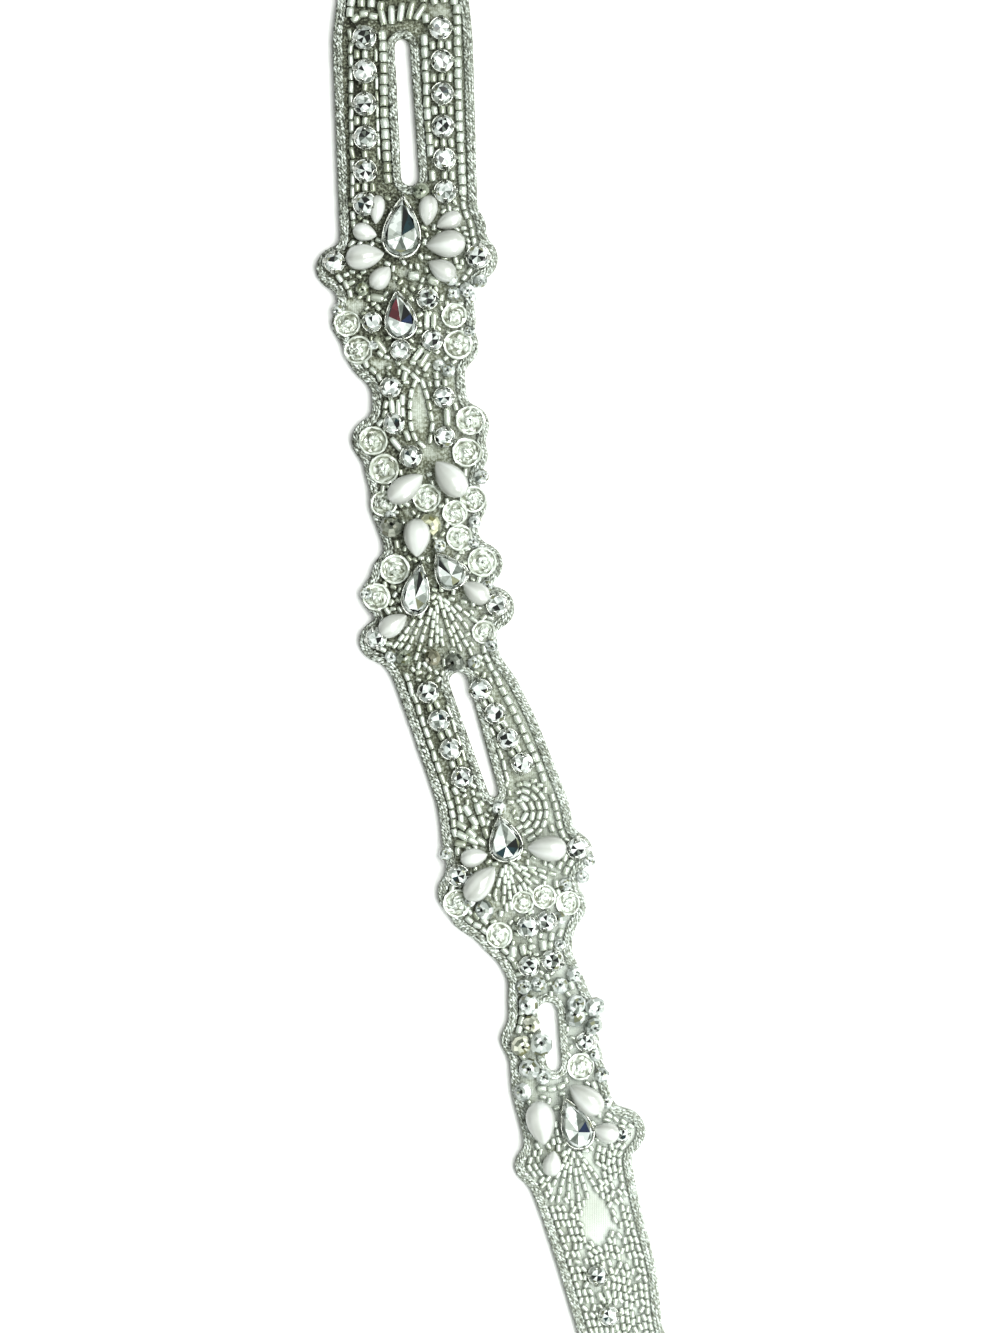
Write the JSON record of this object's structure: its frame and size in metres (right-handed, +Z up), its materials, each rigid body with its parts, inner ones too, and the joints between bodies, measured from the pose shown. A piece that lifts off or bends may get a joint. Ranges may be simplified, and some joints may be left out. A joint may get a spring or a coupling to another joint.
{
  "type": "bridal sash",
  "caption": "Openwork beaded bridal sash band with corded scalloped edges, claw-set stones, cup sequins and drop pearls, laid flat, with a folded satin ribbon tie at each end",
  "frame": {"origin": "middle of the sash's bounding box, on the surface it lies on", "axes": "+Y along the laid sash from the lower tie to the upper tie, +X to the right seen from above, +Z up through the beads"},
  "size_m": [0.0982, 0.4659, 0.0095],
  "materials": {
    "backing_cloth": "woven sage grey backing cloth, matte, seen between the beads",
    "silver_cord": "couched cord of twisted silver metallic thread",
    "seed_bead": "silver-lined clear glass seed and bugle beads",
    "crystal": "foiled cut glass",
    "setting": "plated claw setting",
    "pearl": "off-white pearl lustre",
    "sequin": "clear iridescent cup",
    "thread": "sewing thread",
    "satin": "ivory satin ribbon"
  },
  "bodies": {
    "root": {"band": "backing_cloth", "edge_cord": "silver_cord", "slot_cord_upper": "silver_cord", "slot_cord_middle": "silver_cord", "slot_cord_lower": "silver_cord", "crystal_1": "crystal", "crystal_2": "crystal", "crystal_3": "crystal", "crystal_4": "crystal", "crystal_5": "crystal", "crystal_6": "crystal", "pearl_01": "pearl", "pearl_02": "pearl", "pearl_03": "pearl", "pearl_04": "pearl", "pearl_05": "pearl", "pearl_06": "pearl", "pearl_07": "pearl", "pearl_08": "pearl", "pearl_09": "pearl", "pearl_10": "pearl", "pearl_11": "pearl", "pearl_12": "pearl", "pearl_13": "pearl", "pearl_14": "pearl", "pearl_15": "pearl", "pearl_16": "pearl", "pearl_17": "pearl", "pearl_18": "pearl", "pearl_19": "pearl", "pearl_20": "pearl", "tie_top": "satin", "tie_bottom": "satin"}
  },
  "joints": []
}
